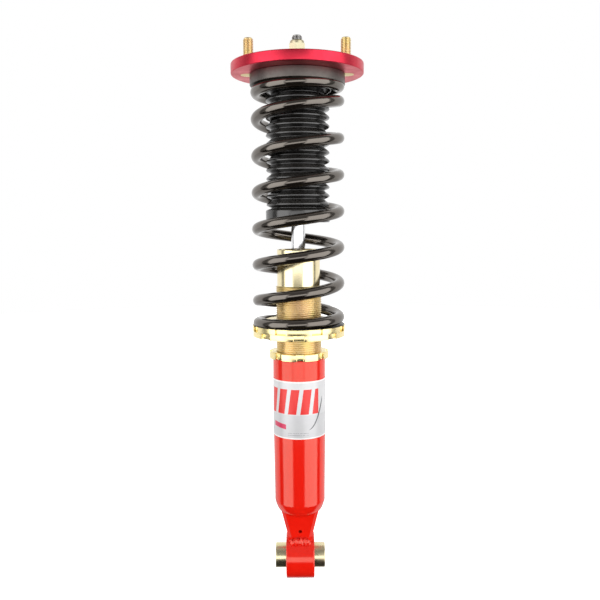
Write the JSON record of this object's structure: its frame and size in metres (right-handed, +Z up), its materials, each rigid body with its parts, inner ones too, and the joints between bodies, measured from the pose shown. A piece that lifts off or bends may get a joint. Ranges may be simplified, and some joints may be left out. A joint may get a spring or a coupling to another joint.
{
  "type": "coilover",
  "caption": "Height-adjustable coil spring and damper strut with a two-stud top plate and a rubber-bushed lower eye.",
  "frame": {"origin": "centre of the lower eye, on the axis of its bolt", "axes": "+Z up the damper's axis towards the top plate, +X along the lower bolt and through both studs"},
  "size_m": [0.1296, 0.1296, 0.5485],
  "materials": {
    "red_anodised": "satin red anodising",
    "red_paint": "gloss red powder coat",
    "black_paint": "gloss black powder coat",
    "black_anodised": "satin black anodising",
    "gold_zinc": "yellow zinc plate",
    "bright_zinc": "pale zinc plate",
    "chrome": "ground hard chrome",
    "steel": "plain machined steel",
    "bare_aluminium": "machined",
    "black_rubber": "matt moulded rubber",
    "foam": "cellular polyurethane",
    "nylon": "plain nylon",
    "black_nylon": "smooth black nylon",
    "band": "filled fluoropolymer",
    "label": "printed silver film"
  },
  "bodies": {
    "top_mount": {"top_plate": "red_anodised", "mount_studs": "gold_zinc", "rod_nut": "bright_zinc", "nut_insert": "nylon", "upper_washer": "bright_zinc", "upper_bush": "black_rubber", "centre_sleeve": "steel", "lower_bush": "black_rubber", "lower_washer": "bright_zinc", "upper_spring_seat": "black_anodised", "main_spring": "black_paint", "dust_boot": "black_rubber", "bump_stop": "foam", "piston_rod": "chrome", "top_out_washer": "steel", "rebound_shims": "steel", "piston": "steel", "piston_band": "band", "compression_shims": "steel", "piston_nut": "steel"},
    "spring_foot": {"slip_ring": "black_nylon"},
    "perch": {"spring_perch": "gold_zinc"},
    "lock_ring": {"perch_lock_ring": "gold_zinc"},
    "damper_body": {"damper_tube": "gold_zinc", "rod_wiper": "black_rubber", "rod_seal": "black_rubber", "rod_guide": "bare_aluminium", "guide_oring": "black_rubber", "guide_circlip": "steel", "end_plug": "bare_aluminium", "plug_oring": "black_rubber", "gas_screw": "steel"},
    "gas_piston": {"floating_piston": "bare_aluminium", "floating_oring": "black_rubber"},
    "bracket": {"bracket_tube": "red_paint", "tube_label": "label", "bracket_neck": "red_paint", "weld_bead": "red_paint", "eye_ring": "red_paint", "bush_shell": "steel", "bush_rubber": "black_rubber"},
    "collar": {"bracket_collar": "gold_zinc"},
    "sleeve": {"bush_sleeve": "gold_zinc"}
  },
  "joints": [
    {"name": "stroke", "type": "slide", "parent": "top_mount", "child": "spring_foot", "axis": [0, 0, 1], "range_m": [0, 0.065], "stiffness_N_per_m": 60000, "springref_m": -0.01, "deforming": ["main_spring"]},
    {"name": "perch_turn", "type": "hinge", "parent": "spring_foot", "child": "perch", "pos_m": [0, 0, 0.24], "axis": [0, 0, 1], "range_deg": [-1440, 0]},
    {"name": "lock_ring_turn", "type": "hinge", "parent": "perch", "child": "lock_ring", "pos_m": [0, 0, 0.235], "axis": [0, 0, 1], "range_deg": [-45, 0]},
    {"name": "tube_shift", "type": "slide", "parent": "spring_foot", "child": "damper_body", "axis": [0, 0, 1], "range_m": [0, 0.008]},
    {"name": "gas_piston_slide", "type": "slide", "parent": "damper_body", "child": "gas_piston", "axis": [0, 0, 1], "range_m": [-0.0089, 0]},
    {"name": "bracket_adjust", "type": "slide", "parent": "damper_body", "child": "bracket", "axis": [0, 0, 1], "range_m": [-0.025, 0.007]},
    {"name": "collar_turn", "type": "hinge", "parent": "bracket", "child": "collar", "pos_m": [0, 0, 0.2128], "axis": [0, 0, 1], "range_deg": [-45, 45]},
    {"name": "bush_twist", "type": "hinge", "parent": "bracket", "child": "sleeve", "pos_m": [0, 0, 0], "axis": [1, 0, 0], "range_deg": [-20, 20], "stiffness_Nm_per_rad": 20}
  ],
  "couplings": [
    {"joint": "perch_turn", "follows": "tube_shift", "rad_per_m": -3141.6},
    {"joint": "gas_piston_slide", "follows": "stroke", "ratio": -0.13573}
  ]
}
